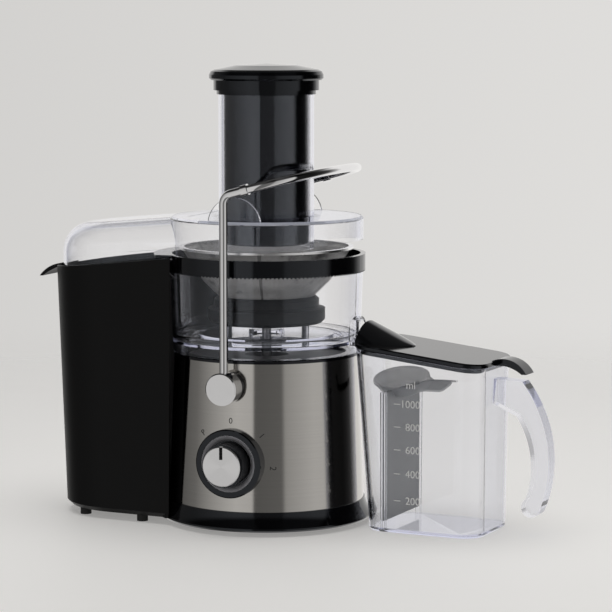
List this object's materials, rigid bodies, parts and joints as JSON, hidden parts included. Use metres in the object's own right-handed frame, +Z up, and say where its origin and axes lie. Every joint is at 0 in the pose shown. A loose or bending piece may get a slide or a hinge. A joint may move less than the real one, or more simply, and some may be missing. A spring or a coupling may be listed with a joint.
{
  "type": "centrifugal juicer",
  "caption": "Countertop centrifugal juicer: steel-wrapped motor base, clear bowl and lid with feed chute and pusher, locking bail, pulp bin and lidded juice jug",
  "frame": {"origin": "on the counter, under the middle of the whole outline; the spindle stands 22.5 mm to the bin side of it", "axes": "+X runs from the pulp bin to the jug, -Y is the front with the speed knob, +Z is up"},
  "size_m": [0.4658, 0.208, 0.3944],
  "materials": {
    "gloss_black": "polished black moulding",
    "matte_black": "fine matte black moulding",
    "brushed_steel": "upright brushed stainless sheet",
    "mesh_steel": "fine perforated stainless sheet",
    "machined_steel": "turned steel",
    "chrome": "mirror chrome",
    "spun_metal": "spun satin metal",
    "clear": "clear moulded plastic",
    "smoke_grey": "smoke grey translucent plastic",
    "rubber": "black rubber",
    "inner_grey": "plain grey moulding",
    "motor_iron": "laminated iron",
    "cast_alloy": "die-cast alloy",
    "copper": "copper and brass"
  },
  "bodies": {
    "base": {"feet": "rubber", "bottom_cover": "matte_black", "bottom_screws": "machined_steel", "base_plinth": "gloss_black", "motor_housing": "inner_grey", "steel_wrap": "brushed_steel", "side_panel": "matte_black", "deck_trim": "gloss_black", "motor_stator": "motor_iron", "stator_coils": "copper", "bearings": "machined_steel", "lower_bracket": "cast_alloy", "upper_bracket": "cast_alloy", "brush_holders": "copper", "motor_mounts": "rubber", "interlock_switch": "matte_black", "cord_gland": "rubber", "rotary_switch": "inner_grey", "knob_bezel": "gloss_black", "pivot_bosses": "gloss_black", "juice_bowl": "clear", "shaft_seal": "rubber", "bowl_collar": "gloss_black", "lid": "clear", "feed_chute": "clear"},
    "pusher": {"pusher_body": "gloss_black", "pusher_cap": "gloss_black"},
    "bail": {"bail_hubs": "chrome", "bail_legs": "chrome", "bail_grip": "chrome"},
    "knob": {"knob_shaft": "machined_steel", "knob_body": "gloss_black", "knob_cap": "spun_metal"},
    "rotor": {"motor_shaft": "machined_steel", "armature": "motor_iron", "commutator": "copper", "cooling_fan": "inner_grey", "drive_coupling": "matte_black", "basket_hub": "matte_black", "basket_mesh": "mesh_steel", "basket_rim": "mesh_steel", "grater_disc": "mesh_steel"},
    "bin": {"pulp_bin": "matte_black", "bin_feet": "rubber"},
    "jug": {"jug_body": "clear", "jug_handle": "clear", "froth_separator": "smoke_grey"},
    "jug_cover": {"jug_lid": "gloss_black"}
  },
  "joints": [
    {"name": "pusher_slide", "type": "slide", "parent": "base", "child": "pusher", "axis": [0, 0, 1], "range_m": [0, 0.12]},
    {"name": "bail_swing", "type": "hinge", "parent": "base", "child": "bail", "pos_m": [-0.0225, 0, 0.126], "axis": [0, 1, 0], "range_deg": [0, 40]},
    {"name": "knob_turn", "type": "hinge", "parent": "base", "child": "knob", "pos_m": [-0.0225, -0.1, 0.061], "axis": [0, 1, 0], "range_deg": [-48, 96]},
    {"name": "basket_spin", "type": "hinge", "parent": "base", "child": "rotor", "pos_m": [-0.0225, 0, 0.1], "axis": [0, 0, 1], "continuous": true},
    {"name": "bin_slide", "type": "slide", "parent": "base", "child": "bin", "axis": [-1, 0, 0], "range_m": [0, 0.17]},
    {"name": "jug_slide", "type": "slide", "parent": "base", "child": "jug", "axis": [1, 0, 0], "range_m": [0, 0.15]},
    {"name": "jug_lid_lift", "type": "slide", "parent": "jug", "child": "jug_cover", "axis": [0, 0, 1], "range_m": [0, 0.028]}
  ]
}
